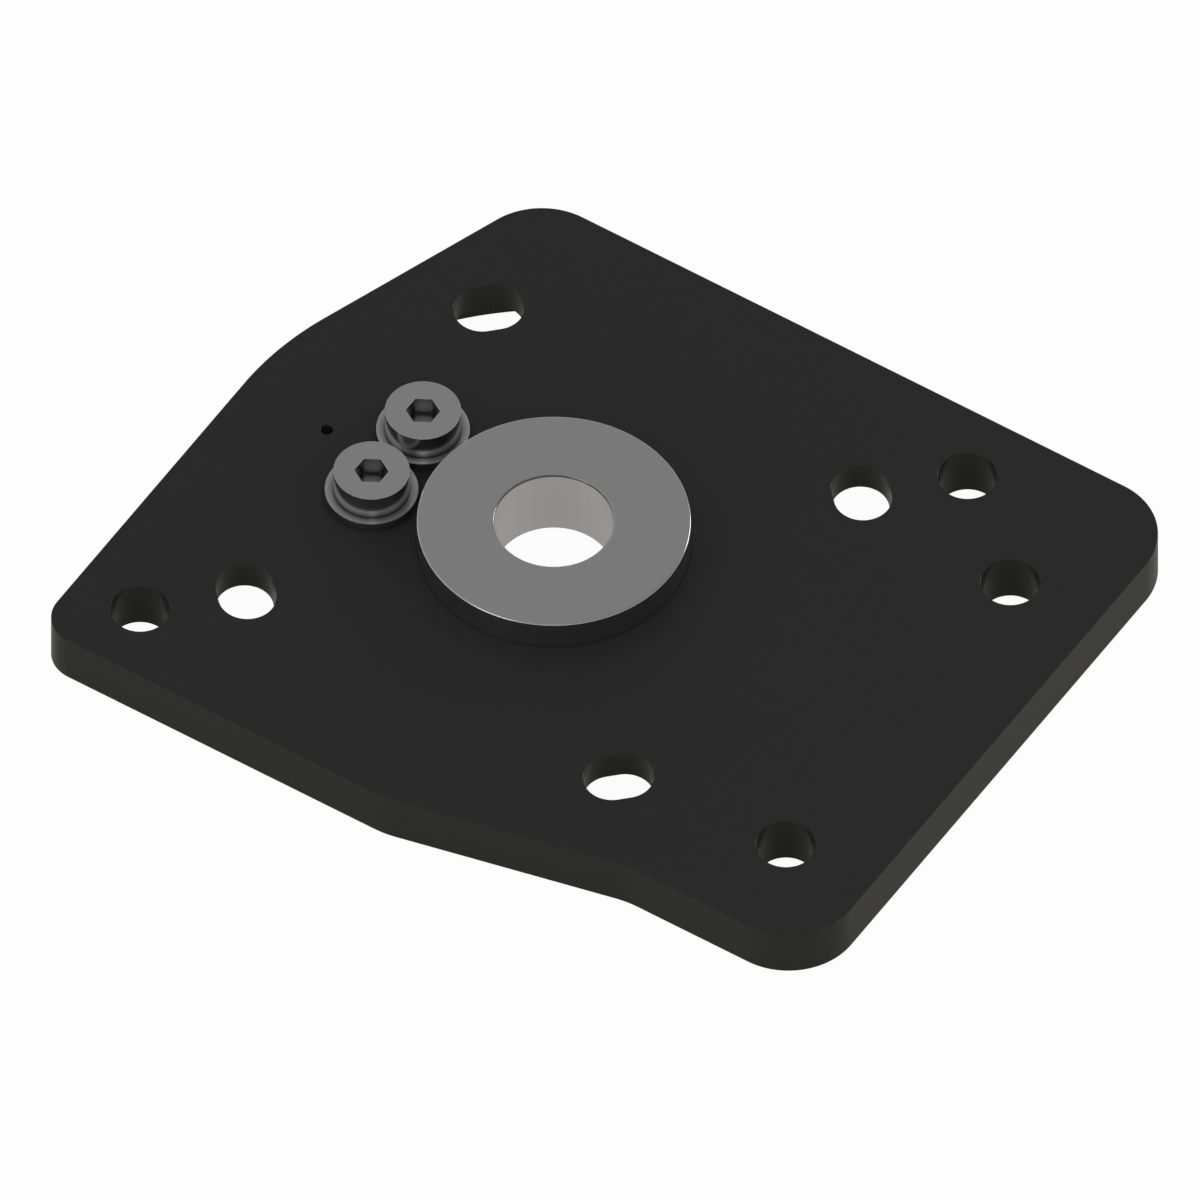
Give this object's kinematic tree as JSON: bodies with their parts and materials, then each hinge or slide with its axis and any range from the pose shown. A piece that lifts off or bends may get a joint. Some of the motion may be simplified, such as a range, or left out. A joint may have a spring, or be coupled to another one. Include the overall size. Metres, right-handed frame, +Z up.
{
  "type": "steering unit mounting plate",
  "caption": "Flat black plate with a flanged steel bush, tangential bolt slots, bolt holes, two flanged socket screws and a round recess underneath.",
  "frame": {"origin": "on the steering axis, the axis of the bush's bore, in the plane of the plate's top face, where the bush's flange sits", "axes": "+Z up along the steering axis, out of the bush's flange; +X towards the plate's long end; +Y towards the long straight back edge"},
  "size_m": [0.237, 0.2, 0.025],
  "materials": {
    "plate": "satin black",
    "bush": "ground steel",
    "screws": "turned steel"
  },
  "bodies": {
    "root": {"mounting_plate": "plate", "pivot_bush": "bush", "flange_screw_1": "screws", "flange_screw_2": "screws"}
  },
  "joints": []
}
